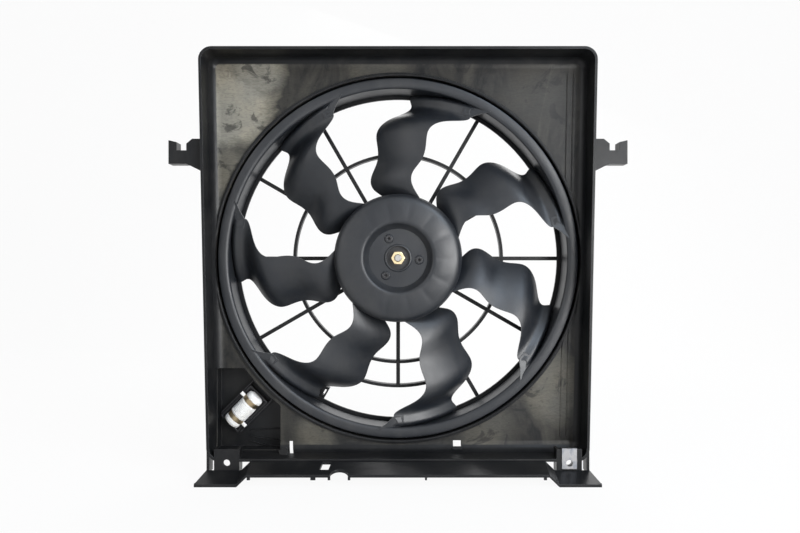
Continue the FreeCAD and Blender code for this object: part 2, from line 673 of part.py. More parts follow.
def make_fan_fixings():
    """Steel drive plate behind the hub, its screws, and the nut and washer on the shaft."""
    plate = turned("drive_plate", [
        ("shaft_radius", "plate_front"), ("plate_radius - 0.6", "plate_front"),
        ("plate_radius", "plate_front + 0.6"), ("plate_radius", "plate_back"),
        ("shaft_radius + 5", "plate_back"), ("shaft_radius + 4", "plate_back + 1.6"),
        ("shaft_radius", "plate_back + 1.6")])
    place = {"x": "hub_screw_circle * cos(hub_screw_angle)",
             "z": "hub_screw_circle * sin(hub_screw_angle)"}
    hole = disc(plate, "plate_front - 1", "plate_back + 1", "hub_screw_radius", kind="Pocket", **place)
    around(plate, [hole], "3")
    screws = new_body("hub_screws")
    head = disc(screws, "recess_floor - 1.7", "recess_floor", "hub_screw_head", **place)
    shank = disc(screws, "recess_floor", "plate_back + 1.5", "hub_screw_radius", **place)
    drive = hexagon(screws, "recess_floor - 1.8", "recess_floor - 0.5", "3.2", "Pocket", **place)
    around(screws, [head, shank, drive], "3")
    washer = new_body("nut_washer")
    disc(washer, "plate_front - washer_height", "plate_front", "nut_flats / 2 + 3",
         bore="shaft_radius")
    nut = new_body("shaft_nut")
    hexagon(nut, "nut_front", "plate_front - washer_height", "nut_flats")
    disc(nut, "nut_front - 1", "plate_front", "shaft_radius", kind="Pocket")
    revolve(nut, [("nut_flats / 2 - 0.2", "nut_front - 0.1"), ("nut_flats", "nut_front - 0.1"),
                  ("nut_flats", "nut_front + nut_flats / 3.6")], kind="Groove")


def hexagon(body, start, end, flats, kind="Pad", x="0", z="0"):
    """Add or cut a hexagon across its flats, between two depths."""
    reach = "(%s) / 2 / cos(30)" % flats
    corners = []
    for corner in range(6):
        across, up = turned_point(reach, str(60 * corner))
        corners.append(("(%s) + %s" % (x, across), "(%s) + %s" % (z, up)))
    return extrude(body, start, end, corners, kind=kind)


def make_motor_case():
    """Can, end plate, mounting flange, screws, bearings and the lead's grommet."""
    turned("motor_can", [
        ("can_inner", "can_start"), ("can_radius", "can_start"), ("can_radius", "can_end - 3"),
        ("can_radius - 3", "can_end"), ("boss_radius", "can_end"),
        ("boss_radius", "can_end + boss_length - 1"), ("boss_radius - 1", "can_end + boss_length"),
        ("0", "can_end + boss_length"), ("0", "can_end + boss_length - can_wall"),
        ("bearing_radius", "can_end + boss_length - can_wall"),
        ("bearing_radius", "can_end - can_wall"), ("can_inner - 2.4", "can_end - can_wall"),
        ("can_inner", "can_end - can_wall - 2.4")])
    front = "can_start - boss_length"
    turned("motor_end_plate", [
        ("shaft_radius + 1.5", front), ("boss_radius - 1", front), ("boss_radius", front + " + 1"),
        ("boss_radius", "can_start"), ("can_inner", "can_start"), ("can_inner", "can_start + can_wall"),
        ("bearing_radius", "can_start + can_wall"), ("bearing_radius", front + " + can_wall"),
        ("shaft_radius + 1.5", front + " + can_wall")])
    for label, start in (("front_bearing", front + " + can_wall"),
                         ("rear_bearing", "can_end + boss_length - can_wall - bearing_length")):
        turned(label, [
            ("shaft_radius + shaft_clearance", start), ("bearing_radius - 1", start),
            ("bearing_radius", start + " + 1"), ("bearing_radius", start + " + bearing_length - 1"),
            ("bearing_radius - 1", start + " + bearing_length"),
            ("shaft_radius + shaft_clearance", start + " + bearing_length")])
    ear = {"x": "ear_circle * cos(ear_angle)", "z": "ear_circle * sin(ear_angle)"}
    flange = new_body("motor_flange")
    disc(flange, "lip_back - ear_thickness", "lip_back", "motor_seat_inner + 4",
                bore="can_radius")
    arm = bar(flange, "ear_angle", "can_radius + 2", "ear_circle", "2 * ear_radius",
              "lip_back - ear_thickness", "lip_back")
    lobe = disc(flange, "lip_back - ear_thickness", "lip_back", "ear_radius", **ear)
    hole = disc(flange, "lip_back - ear_thickness - 1", "lip_back + 1", "motor_screw_radius",
                kind="Pocket", **ear)
    around(flange, [arm, lobe, hole], "3")
    screws = new_body("motor_screws")
    seat = "lip_back - ear_thickness"
    head = hexagon(screws, seat + " - 3.2", seat, "motor_screw_head * 2 * cos(30)", **ear)
    shank = disc(screws, seat, "guard_back + 2", "motor_screw_radius", **ear)
    around(screws, [head, shank], "3")
    grommet = new_body("lead_grommet")
    place = {"x": "-can_radius * 0.68 * cos(45)", "z": "-can_radius * 0.68 * sin(45)"}
    disc(grommet, "can_end", "can_end + 5", "5.5", bore="2.4", **place)
    disc(grommet, "can_end + 1.5", "can_end + 3", "7", bore="2.4", **place)


def make_rotor():
    """Shaft, laminated core, windings and commutator."""
    turned("rotor_shaft", [
        ("0", "nut_front - 2"), ("shaft_radius - 0.8", "nut_front - 2"),
        ("shaft_radius", "nut_front - 1.2"), ("shaft_radius", "can_end + boss_length - can_wall - 0.8"),
        ("0", "can_end + boss_length - can_wall - 0.8")])
    core = new_body("armature_core")
    disc(core, "core_start", "core_end", "core_radius", bore="shaft_radius")
    slot = bar(core, "0", "core_radius * 0.55", "core_radius - 2.2", "slot_width",
               "core_start - 1", "core_end + 1", kind="Pocket")
    mouth = bar(core, "0", "core_radius - 3", "core_radius + 1", "2.4",
                "core_start - 1", "core_end + 1", kind="Pocket")
    around(core, [slot, mouth], "slot_count")
    windings = new_body("armature_windings")
    for start, end in (("core_start - winding_length", "core_start"),
                       ("core_end", "core_end + winding_length")):
        disc(windings, start, end, "core_radius - 3.4", bore="commutator_radius + 2.5")
    turns = bar(windings, "0", "core_radius * 0.55 + 0.4", "core_radius - 3.6", "slot_width - 0.6",
                "core_start", "core_end")
    around(windings, [turns], "slot_count")
    commutator = new_body("commutator")
    disc(commutator, "core_end + 0.5", "commutator_end", "commutator_radius", bore="shaft_radius")
    disc(commutator, "core_end + 0.5", "core_end + 2.5", "commutator_radius + 2",
         bore="commutator_radius - 1")
    slit = bar(commutator, "180 / slot_count", "commutator_radius - 1.4", "commutator_radius + 3",
               "0.7", "core_end - 1", "commutator_end + 1", kind="Pocket")
    around(commutator, [slit], "slot_count")


def make_stator():
    """Field magnets, brush card, brushes and their springs."""
    magnets = new_body("field_magnets")
    corners = [turned_point("magnet_inner", "-magnet_angle / 2"),
               turned_point("can_inner", "-magnet_angle / 2"),
               turned_point("can_inner", "magnet_angle / 2"),
               turned_point("magnet_inner", "magnet_angle / 2")]
    middle = "(core_start + core_end) / 2"
    magnet = extrude(magnets, middle + " - magnet_length / 2", middle + " + magnet_length / 2",
                     corners, {1: "can_inner", 3: "-magnet_inner"})
    around(magnets, [magnet], "4")
    card = new_body("brush_card")
    disc(card, "commutator_end - 1", "commutator_end + 1", "can_inner - 2.5",
         bore="commutator_radius + 1.5")
    brushes = new_body("brushes")
    face = "commutator_radius + brush_gap"
    brush = bar(brushes, "45", face, face + " + brush_length", "6",
                "commutator_end - 7.5", "commutator_end - 1")
    around(brushes, [brush], "4")
    springs = new_body("brush_springs")
    reach = face + " + brush_length + 4.2"
    coil = disc(springs, "commutator_end - 6", "commutator_end - 1", "4",
                x="(%s) * cos(45)" % reach, z="(%s) * sin(45)" % reach)
    core = disc(springs, "commutator_end - 7", "commutator_end - 1.8", "2.8", kind="Pocket",
                x="(%s) * cos(45)" % reach, z="(%s) * sin(45)" % reach)
    arm = bar(springs, "45", face + " + brush_length", reach, "0.9",
              "commutator_end - 4.5", "commutator_end - 2.5", across="3.2")
    around(springs, [coil, core, arm], "4")


def tilt_to_resistor(body):
    """Lay a body made about the fan axis along the resistor's axis, 45 degrees up to the right."""
    body.Placement = Placement(Vector(), Rotation(Vector(0, 1, 0), Vector(1, 0, 1)))
    for axis, place in (("x", "-resistor_x"), ("y", "resistor_y"), ("z", "-resistor_z")):
        body.setExpression("Placement.Base." + axis, bind(place))


def make_resistor():
    """Ceramic resistor with two clamp bands, in an open carrier on the pocket's floor."""
    half, waist = "resistor_length / 2", "clamp_width / 2 + 0.8"
    profile = [("0", "-(%s)" % half), ("resistor_radius - 3", "-(%s)" % half),
               ("resistor_radius - 0.8", "-(%s) + 1" % half), ("resistor_radius", "-(%s) + 3" % half)]
    for sign in ("-", ""):
        middle = sign + "band_place"
        profile += [("resistor_radius", "%s - (%s)" % (middle, waist)),
                    ("resistor_waist", "%s - (%s) + 0.5" % (middle, waist)),
                    ("resistor_waist", "%s + (%s) - 0.5" % (middle, waist)),
                    ("resistor_radius", "%s + (%s)" % (middle, waist))]
    profile += [("resistor_radius", "(%s) - 3" % half), ("resistor_radius - 0.8", "(%s) - 1" % half),
                ("resistor_radius - 3", half), ("0", half)]
    tilt_to_resistor(turned("resistor_body", profile))
    bands = new_body("resistor_bands")
    for middle, angle in (("-band_place", "-45"), ("band_place", "135")):
        start, end = "%s - clamp_width / 2" % middle, "%s + clamp_width / 2" % middle
        disc(bands, start, end, "resistor_waist + 0.6", bore="resistor_waist")
        bar(bands, angle, "resistor_waist + 0.3", "resistor_waist + lug_reach", "0.8",
            middle + " - 1.6", middle + " + 1.6")
    tilt_to_resistor(bands)
    carrier = new_body("resistor_carrier")
    plate, floor = "resistor_height - carrier_floor", "resistor_height"
    ends = "resistor_length / 2 + 2.6"
    bar(carrier, "225", plate, floor, "2 * carrier_half", "-(%s)" % ends, ends)
    for sign in ("-", ""):
        bar(carrier, "225", "2.5", floor, "1.6", "-(%s)" % ends, ends,
            across=sign + "(carrier_half - 0.8)")
        low, high = sorted((sign + "(%s)" % ends, sign + "(%s - 1.6)" % ends),
                           key=value)
        bar(carrier, "225", "2.5", floor, "2 * carrier_half", low, high)
        bar(carrier, "225", "resistor_waist + 0.6", floor, "9", sign + "band_place - 1.5",
            sign + "band_place + 1.5")
    tilt_to_resistor(carrier)


def make_clip_nut():
    """Steel clip nut pushed over the right boss plate."""
    clip = new_body("clip_nut")
    left, right = "bolt_x - clip_half", "bolt_x + clip_half"
    bottom, top = "-boss_top - 20", "-boss_top + clip_sheet"
    for start, end, low in (("-clip_sheet", "0", bottom), ("boss_plate", "boss_plate + clip_sheet", bottom),
                            ("-clip_sheet", "boss_plate + clip_sheet", "-boss_top")):
        extrude(clip, start, end, [(left, low), (right, low), (right, top), (left, top)])
    disc(clip, "boss_plate + clip_sheet", "boss_plate + clip_sheet + 3.5", "bolt_hole_radius + 2",
         x="bolt_x", z="-bolt_z")
    disc(clip, "-clip_sheet - 1", "boss_plate + 6", "bolt_hole_radius",
         x="bolt_x", z="-bolt_z", kind="Pocket")


def finish_and_write():
    doc.recompute()
    for item in doc.Objects:
        if {"Invalid", "Error"} & set(item.State):
            raise RuntimeError("%s failed: %s" % (item.Name, item.State))
    os.makedirs("parts", exist_ok=True)
    for part in parts:
        shape = part.Shape
        if shape.isNull() or not shape.isValid():
            raise RuntimeError(part.Label + " has no valid shape")
        shape.exportStep("parts/%s.step" % part.Label)
        print("%-20s %2d solids %10.1f mm3" % (part.Label, len(shape.Solids), shape.Volume))


make_tray()
make_shelf()
make_barrel()
make_guard()
make_fan()
make_fan_fixings()
make_motor_case()
make_rotor()
make_stator()
make_resistor()
make_clip_nut()
finish_and_write()
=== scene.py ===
"""A car's radiator fan shroud: finishes, small fittings and a plain studio round the CAD frame."""

import json
import math

import bmesh
import bpy
from mathutils import Matrix, Vector
from mathutils.bvhtree import BVHTree


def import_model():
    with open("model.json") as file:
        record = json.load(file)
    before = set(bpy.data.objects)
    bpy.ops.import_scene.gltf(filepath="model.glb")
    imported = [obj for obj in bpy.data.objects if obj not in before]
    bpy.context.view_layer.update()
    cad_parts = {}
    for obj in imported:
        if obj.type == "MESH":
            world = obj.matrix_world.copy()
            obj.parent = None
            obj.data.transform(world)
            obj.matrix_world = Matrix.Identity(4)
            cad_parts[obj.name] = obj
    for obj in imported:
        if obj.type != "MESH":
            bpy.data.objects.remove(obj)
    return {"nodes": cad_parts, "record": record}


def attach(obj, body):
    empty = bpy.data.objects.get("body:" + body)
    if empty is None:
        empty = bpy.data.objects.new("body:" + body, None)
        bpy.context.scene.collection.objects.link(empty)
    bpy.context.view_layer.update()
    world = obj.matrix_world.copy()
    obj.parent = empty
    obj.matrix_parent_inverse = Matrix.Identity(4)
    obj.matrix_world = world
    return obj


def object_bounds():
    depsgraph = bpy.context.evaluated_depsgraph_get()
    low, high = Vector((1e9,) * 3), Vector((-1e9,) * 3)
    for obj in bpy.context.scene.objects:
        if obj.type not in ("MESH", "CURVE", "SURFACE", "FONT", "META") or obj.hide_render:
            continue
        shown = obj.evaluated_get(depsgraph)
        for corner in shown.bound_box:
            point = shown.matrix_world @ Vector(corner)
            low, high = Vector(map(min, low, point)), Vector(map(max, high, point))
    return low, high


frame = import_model()
cad_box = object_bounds()

MM = 0.001
NODES = frame["nodes"]
LOOKS = {}  # the finish of each material slot, filled by make_looks


# ---------------------------------------------------------------- node helpers

class Look:
    """A material written as a tree of nodes, with lengths in metres."""

    def __init__(self, name):
        self.name = name
        self.material = bpy.data.materials.new(name)
        self.material.use_nodes = True
        self.tree = self.material.node_tree
        self.tree.nodes.clear()
        self.place = self.node("ShaderNodeTexCoord").outputs["Object"]

    def node(self, kind, settings=None, **inputs):
        """A new node with its settings, and a value or a link for each named input."""
        made = self.tree.nodes.new(kind)
        for name, setting in (settings or {}).items():
            setattr(made, name, setting)
        for name, value in inputs.items():
            self.feed(made.inputs[name.replace("_", " ")], value)
        return made

    def feed(self, socket, value):
        """Link a socket to another one, or set its value."""
        if isinstance(value, bpy.types.NodeSocket):
            self.tree.links.new(value, socket)
        else:
            socket.default_value = value

    def paint(self, socket, colour):
        """Link a colour socket to another one, or set it from red, green and blue."""
        self.feed(socket, colour if isinstance(colour, bpy.types.NodeSocket) else (*colour, 1.0))

    def math(self, operation, *values, clamp=False):
        """A sum on one or two numbers."""
        made = self.node("ShaderNodeMath", {"operation": operation, "use_clamp": clamp})
        for socket, value in zip(made.inputs, values):
            self.feed(socket, value)
        return made.outputs[0]

    def vectors(self, operation, first, second, output="Vector"):
        """A sum on two vectors, whose answer is a vector or a number."""
        made = self.node("ShaderNodeVectorMath", {"operation": operation})
        self.feed(made.inputs[0], first)
        self.feed(made.inputs[1], second)
        return made.outputs[output]

    def scaled(self, x, y, z):
        """Object coordinates stretched along each axis."""
        return self.vectors("MULTIPLY", self.place, (x, y, z))

    def noise(self, size, detail=4.0, rough=0.55, warp=0.0, where=None):
        """Noise whose blobs are about size metres wide."""
        made = self.node("ShaderNodeTexNoise", Scale=1.0 / size, Detail=detail,
                         Roughness=rough, Distortion=warp)
        self.feed(made.inputs["Vector"], where or self.place)
        return made.outputs["Fac"]

    def ramp(self, value, low, high, start=0.0, end=1.0):
        """start where the value is low, end where it is high, and an even change between them."""
        made = self.node("ShaderNodeMapRange", {"clamp": True})
        for name, number in (("Value", value), ("From Min", low), ("From Max", high),
                             ("To Min", start), ("To Max", end)):
            self.feed(made.inputs[name], number)
        return made.outputs[0]

    def spread(self, noise, start=0.0, end=1.0):
        """A noise, most of which lies from 0.3 to 0.7, spread between two ends."""
        return self.ramp(noise, 0.3, 0.7, start, end)

    def mix(self, factor, first, second):
        """A share of the second colour laid over the first."""
        made = self.node("ShaderNodeMix", {"data_type": "RGBA"})
        self.feed(made.inputs["Factor"], factor)
        colours = [socket for socket in made.inputs if socket.type == "RGBA"]
        self.paint(colours[0], first)
        self.paint(colours[1], second)
        return next(socket for socket in made.outputs if socket.type == "RGBA")

    def soft_edge(self, radius):
        """The normal rounded over edges, and how near a point is to an edge."""
        flat, sharp = 0.97, 0.75  # the cosine between the rounded normal and the plain one
        bevel = self.node("ShaderNodeBevel", {"samples": 6}, Radius=radius).outputs[0]
        plain = self.node("ShaderNodeNewGeometry").outputs["Normal"]
        return bevel, self.ramp(self.vectors("DOT_PRODUCT", bevel, plain, "Value"), flat, sharp)

    def upward(self):
        """How far the surface faces up."""
        normal = self.node("ShaderNodeNewGeometry").outputs["Normal"]
        return self.node("ShaderNodeSeparateXYZ", Vector=normal).outputs["Z"]

    def bump(self, height, depth, strength, normal):
        """A normal that follows a fine relief of the given depth."""
        return self.node("ShaderNodeBump", Strength=strength, Distance=depth, Height=height,
                         Normal=normal).outputs[0]

    def finish(self, colour, roughness, normal, metallic=0.0, **extra):
        """Close the tree with a surface, and keep the material under its slot's name."""
        shader = self.node("ShaderNodeBsdfPrincipled", Metallic=metallic, Roughness=roughness,
                           Normal=normal, **extra)
        self.paint(shader.inputs["Base Color"], colour)
        self.node("ShaderNodeOutputMaterial", Surface=shader.outputs[0])
        LOOKS[self.name] = self.material


def times(colour, factor):
    """A colour made lighter or darker, with 1 as its limit."""
    return tuple(min(1.0, channel * factor) for channel in colour)


# ---------------------------------------------------------------- moulded plastic

ROAD_FILM = (0.075, 0.070, 0.062)
# light grey for the plastic's edges: partly edge wear, partly a painted highlight along the rounded edges
EDGE_WEAR_AND_HIGHLIGHT = (0.16, 0.16, 0.165)
BROWN_DUST = (0.285, 0.262, 0.205)
GREY_DUST = (0.235, 0.225, 0.190)

PANEL_DEPTH = 33 * MM    # the tray's panel lies this far behind the rim
PANEL_SPREAD = 1.2 * MM  # and its dust reaches this far to each side of that depth
THIN_DUST = 0.15         # the most that lies outside the marks

# Where dust and water marks lie thick on the panel: x and z of the middle, reach, strength, in mm.
MARKS = ((-176, 158, 50, 1.0), (-150, 198, 32, 0.8), (-186, 92, 44, 0.40), (-90, -184, 34, 0.30),
         (172, -138, 46, 0.36), (92, -184, 40, 0.22), (-20, 203, 44, 0.20), (150, 178, 60, 0.10))


def near(look, x, z, reach, cloud):
    """1 at a place on the panel, falling to 0 over the given reach, with a ragged edge."""
    gap = look.vectors("DISTANCE", look.scaled(1, 0, 1), (x, 0, z), "Value")
    ragged = look.math("ADD", gap, look.spread(cloud, -0.3 * reach, 0.3 * reach))
    return look.ramp(ragged, reach, 0.45 * reach)


def panel_dust(look, cloud, flow):
    """Dry dust and water marks on the tray's panel alone, thick in some places."""
    depth = look.node("ShaderNodeSeparateXYZ", Vector=look.place).outputs["Y"]
    away = look.math("ABSOLUTE", look.math("SUBTRACT", depth, PANEL_DEPTH))
    on_panel = look.ramp(away, PANEL_SPREAD, 0.6 * PANEL_SPREAD)
    total = look.ramp(flow, 0.35, 0.7, 0.0, THIN_DUST)
    for x, z, reach, strength in MARKS:
        mark = near(look, x * MM, z * MM, reach * MM, cloud)
        total = look.math("MAXIMUM", total, look.math("MULTIPLY", mark, strength))
    blotch = look.ramp(look.noise(26 * MM, detail=5.0, rough=0.6, warp=1.0), 0.62, 0.56)
    scratch = look.noise(3 * MM, detail=2.0, warp=2.0, where=look.scaled(0.35, 1.0, 1.4))
    total = look.math("MULTIPLY", total, look.ramp(blotch, 0.0, 1.0, 0.35, 1.0))
    total = look.math("MULTIPLY", total, look.ramp(scratch, 0.30, 0.62, 0.72, 1.08))
    return look.math("MULTIPLY", total, on_panel)


def moulded(name, colour, roughness, film, level, edge=0.6, panel=False):
    """Black moulded plastic: fine grain, cloudy flow marks, handling smudges and road dust.

    film is the strength of the smudges, level that of the shine, and edge the edges' radius in mm.
    """
    look = Look(name)
    normal, near_edge = look.soft_edge(edge * MM)
    cloud = look.noise(70 * MM, detail=6.0, rough=0.6, warp=0.8)
    flow = look.noise(45 * MM, detail=7.0, rough=0.65, warp=1.6, where=look.scaled(1.0, 1.0, 0.35))
    speck = look.noise(2.2 * MM, detail=3.0, rough=0.7)

    smear = look.ramp(look.math("MULTIPLY", flow, cloud), 0.20, 0.40)
    settled = look.math("MULTIPLY", look.ramp(look.upward(), 0.4, 1.0),
                        look.ramp(cloud, 0.35, 0.6, 0.1, 0.5))
    dusty = look.math("MAXIMUM", look.math("MULTIPLY", smear, film),
                      look.math("MULTIPLY", settled, film), clamp=True)
    dusty = look.math("MULTIPLY", dusty, look.ramp(speck, 0.25, 0.6, 0.6, 1.0))

    body = look.mix(look.spread(cloud), colour, times(colour, 1.4))
    body = look.mix(dusty, body, ROAD_FILM)
    # edges made lighter: partly wear, partly a painted highlight
    body = look.mix(look.math("MULTIPLY", near_edge, 0.30), body, EDGE_WEAR_AND_HIGHLIGHT)
    if panel:
        dust = panel_dust(look, cloud, flow)
        hue = look.ramp(look.noise(50 * MM, detail=3.0), 0.4, 0.6)
        body = look.mix(dust, body, look.mix(hue, BROWN_DUST, GREY_DUST))
        dusty = look.math("ADD", dusty, dust, clamp=True)

    polish = look.spread(look.noise(35 * MM, warp=0.8), roughness - 0.06, roughness + 0.08)
    rough = look.math("ADD", polish, look.math("MULTIPLY", dusty, 0.3))
    grain = look.math("ADD", look.noise(0.35 * MM, detail=2.0), look.math("MULTIPLY", speck, 0.4))
    look.finish(body, rough, look.bump(grain, 0.06 * MM, 0.35, normal), Specular_IOR_Level=level)


# ---------------------------------------------------------------- other materials

def metal(name, colour, roughness, stain=(0.25, 0.2, 0.15), stained=0.25, stretch=(1, 1, 1)):
    """Bare or plated metal with fine drawing marks, stains and bright worn edges."""
    look = Look(name)
    normal, near_edge = look.soft_edge(0.3 * MM)
    marks = look.noise(0.5 * MM, detail=3.0, where=look.scaled(*stretch))
    patch = look.ramp(look.noise(9 * MM, detail=5.0, warp=0.8), 0.45, 0.68)
    body = look.mix(look.spread(marks), times(colour, 0.85), colour)
    body = look.mix(look.math("MULTIPLY", patch, stained), body, stain)
    body = look.mix(look.math("MULTIPLY", near_edge, 0.5), body, times(colour, 1.3))
    rough = look.math("ADD", look.spread(marks, roughness - 0.05, roughness + 0.08),
                      look.math("MULTIPLY", patch, 0.2))
    look.finish(body, rough, look.bump(marks, 0.03 * MM, 0.3, normal), metallic=1.0)


def coated(name, colour):
    """Painted or coated sheet steel with orange peel and small chips."""
    look = Look(name)
    normal, near_edge = look.soft_edge(0.4 * MM)
    peel = look.noise(1.6 * MM, detail=2.0)
    chips = look.math("MULTIPLY", look.ramp(look.noise(3 * MM), 0.62, 0.66), near_edge)
    body = look.mix(look.spread(look.noise(40 * MM)), colour, times(colour, 1.4))
    body = look.mix(chips, body, (0.35, 0.34, 0.33))
    look.finish(body, look.spread(peel, 0.31, 0.41), look.bump(peel, 0.05 * MM, 0.3, normal))


def ceramic(name):
    """Cement-coated white ceramic: chalky, with fine pits and faint heat stains."""
    look = Look(name)
    normal, near_edge = look.soft_edge(0.4 * MM)
    chalk = look.noise(0.8 * MM, detail=5.0, rough=0.7)
    stain = look.ramp(look.noise(10 * MM, detail=5.0, warp=0.7), 0.5, 0.75)
    body = look.mix(look.spread(chalk), (0.88, 0.875, 0.85), (0.95, 0.945, 0.92))
    body = look.mix(look.math("MULTIPLY", stain, 0.25), body, (0.66, 0.61, 0.52))
    body = look.mix(look.math("MULTIPLY", near_edge, 0.2), body, (0.75, 0.73, 0.7))
    look.finish(body, look.spread(chalk, 0.6, 0.8), look.bump(chalk, 0.12 * MM, 0.5, normal))


def plain_grain(name, colour, roughness, size=0.6):
    """Ferrite, carbon or rubber: one matt colour with a grain of the given size in mm."""
    look = Look(name)
    normal, _ = look.soft_edge(0.3 * MM)
    grain = look.noise(size * MM, detail=4.0, rough=0.65)
    body = look.mix(look.ramp(grain, 0.35, 0.65), colour, times(colour, 1.4))
    look.finish(body, look.spread(grain, roughness - 0.08, roughness + 0.08),
                look.bump(grain, 0.08 * MM, 0.4, normal))


def make_looks():
    """The finish of each material slot."""
    moulded("shroud_plastic", (0.006, 0.0065, 0.0075), 0.34, film=0.16, level=0.24, edge=0.7, panel=True)
    moulded("fan_plastic", (0.009, 0.011, 0.0145), 0.38, film=0.22, level=0.55, edge=0.8)
    moulded("carrier_plastic", (0.010, 0.010, 0.012), 0.4, film=0.2, level=0.45)
    plain_grain("grommet_rubber", (0.02, 0.02, 0.02), 0.75)
    metal("zinc_steel", (0.34, 0.34, 0.35), 0.40, stain=(0.10, 0.12, 0.16), stained=0.6)
    coated("black_steel", (0.02, 0.02, 0.022))
    metal("yellow_zinc", (0.86, 0.70, 0.44), 0.38, stain=(0.5, 0.33, 0.16), stained=0.5)
    coated("can_steel", (0.035, 0.036, 0.04))
    metal("shaft_steel", (0.56, 0.55, 0.53), 0.28, stretch=(1, 6, 1))
    metal("core_steel", (0.32, 0.32, 0.33), 0.42, stretch=(0.1, 3, 0.1))
    metal("copper_wire", (0.66, 0.30, 0.14), 0.35, stretch=(3, 0.2, 3))
    metal("commutator_copper", (0.72, 0.38, 0.22), 0.25, stretch=(0.2, 4, 0.2))
    plain_grain("ferrite", (0.05, 0.05, 0.055), 0.6)
    plain_grain("carbon", (0.03, 0.03, 0.033), 0.5, size=0.4)
    metal("spring_steel", (0.45, 0.45, 0.45), 0.3)
    metal("bronze", (0.55, 0.38, 0.2), 0.4)
    ceramic("ceramic_white")
    metal("band_steel", (0.46, 0.38, 0.25), 0.40, stain=(0.28, 0.18, 0.09), stained=0.6)


DARKENED = ("drive_plate", "nut_washer")  # zinc parts that have a dark chromate over them


def dress_nodes():
    """Every CAD node takes the finish of its material slot."""
    for part in frame["record"]["subparts"]:
        mesh = NODES[part["node"]].data
        mesh.materials.clear()
        slot = "black_steel" if part["node"] in DARKENED else part["material_slot"]
        mesh.materials.append(LOOKS[slot])


# ---------------------------------------------------------------- ways to make a small piece
# Places are in mm from here on. The fan axis is x 0, z 0, and y is the depth behind the rim.

FRONT = Vector((0, -1, 0))  # towards the radiator


def even_steps(low, high, steps):
    """Numbers from low to high, both ends among them."""
    return [low + (high - low) * step / steps for step in range(steps + 1)]


def round_fan(radius, angle, depth):
    """A point at a radius and an angle from the fan axis."""
    return Vector((radius * math.cos(angle), depth, radius * math.sin(angle))) * MM


def facing(x, z):
    """A frame whose Z axis runs back along the fan's, through a point of the rim's plane."""
    return Matrix.Translation(Vector((x, 0, z)) * MM) @ Matrix.Rotation(-math.pi / 2, 4, "X")


def surface_of(node):
    """A node's surface, to drop points onto."""
    shape = NODES[node]
    points = [shape.matrix_world @ vertex.co for vertex in shape.data.vertices]
    return BVHTree.FromPolygons(points, [list(face.vertices) for face in shape.data.polygons])


def lay_on(surface, places):
    """Places seen from the radiator side, dropped onto a surface: point and normal of each."""
    start = -60  # in front of every node
    found = []
    for x, z in places:
        point, normal, _, _ = surface.ray_cast(Vector((x, start, z)) * MM, -FRONT)
        if point is not None:
            found.append((point, normal if normal.y < 0 else -normal))
    return found


def skin(build, rows, closed=False):
    """Faces between rows of vertices."""
    for first, second in zip(rows, rows[1:]):
        count = len(first)
        for number in range(count if closed else count - 1):
            after = (number + 1) % count
            build.faces.new((first[number], first[after], second[after], second[number]))


def cap(build, rows):
    """Close both ends of a skin."""
    build.faces.new(rows[0])
    build.faces.new(rows[-1])


def bead(build, path, width, height, sink=0.3):
    """A raised rib with a rounded top, run along points and normals, its foot sunk by a little."""
    outline = ((-1, -sink), (-0.85, height * 0.55), (-0.35, height),
               (0.35, height), (0.85, height * 0.55), (1, -sink))
    rows = []
    for number, (point, normal) in enumerate(path):
        ahead = path[min(number + 1, len(path) - 1)][0] - path[max(number - 1, 0)][0]
        side = ahead.cross(normal).normalized()
        rows.append([build.verts.new(point + side * across * width / 2 * MM + normal * up * MM)
                     for across, up in outline])
    skin(build, rows, closed=True)
    cap(build, rows)


def hoop(build, profile, matrix, steps=96):
    """A closed profile of radius and place along the axis, turned about the matrix's Z axis."""
    rows = []
    for step in range(steps):
        angle = 2 * math.pi * step / steps
        across, up = math.cos(angle), math.sin(angle)
        rows.append([build.verts.new(matrix @ (Vector((radius * across, radius * up, along)) * MM))
                     for radius, along in profile])
    skin(build, rows + rows[:1], closed=True)


def slab(build, corners, depth):
    """A plate with an eased front edge, from corners in order and a depth behind them."""
    ease = 0.35
    points = [Vector(corner) for corner in corners]
    normal = (points[1] - points[0]).cross(points[2] - points[0]).normalized()
    if normal.y > 0:
        normal = -normal
    middle = sum(points, Vector()) / len(points)
    rows = []
    for shrink, lift in ((0, -depth), (0, -ease), (ease, 0)):
        rows.append([build.verts.new((point + (middle - point).normalized() * shrink + normal * lift) * MM)
                     for point in points])
    skin(build, rows, closed=True)
    cap(build, rows)


def link_mesh(name, build):
    """An object made from a bmesh."""
    mesh = bpy.data.meshes.new(name)
    build.to_mesh(mesh)
    build.free()
    mesh.shade_smooth()
    made = bpy.data.objects.new(name, mesh)
    bpy.context.scene.collection.objects.link(made)
    return made


def piece(name, body, slot, build):
    """Finish a bmesh as an object that moves with a body."""
    bmesh.ops.recalc_face_normals(build, faces=build.faces)
    made = link_mesh(name, build)
    made.data.set_sharp_from_angle(angle=math.radians(40))
    made.data.materials.append(LOOKS[slot])
    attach(made, body)


# ---------------------------------------------------------------- the fan's small forms

HUB_FLOOR = 36.5  # depth of the hub's recess

# The hub's dome and the sloping wall of its recess: radius, depth, and share of the creases' dent.
DOME = ((31.2, 36.8, 0), (31.6, 36.1, 0), (32.6, 35.4, 0), (36.2, 30.2, 0), (37.4, 28.7, 0),
        (39.0, 28.1, 0), (41.0, 28.1, 0.3), (46.0, 28.4, 1), (51.0, 29.0, 1), (56.0, 29.9, 1),
        (60.0, 30.7, 0.5), (63.0, 31.6, 0), (66.0, 33.4, 0), (68.3, 36.2, 0), (68.6, 38.0, 0),
        (67.0, 38.0, 0), (60.0, 33.0, 0), (40.0, 33.0, 0), (38.0, 36.8, 0))
CREASES = 14        # they run out over the dome
CREASE_STEPS = 12   # steps of the turn from one crease to the next
CREASE_DENT = 0.32
FIRST_CREASE = math.radians(12)

SCREWS = 3
SCREW_CIRCLE = 22.9  # radius
FIRST_SCREW = -5     # degrees

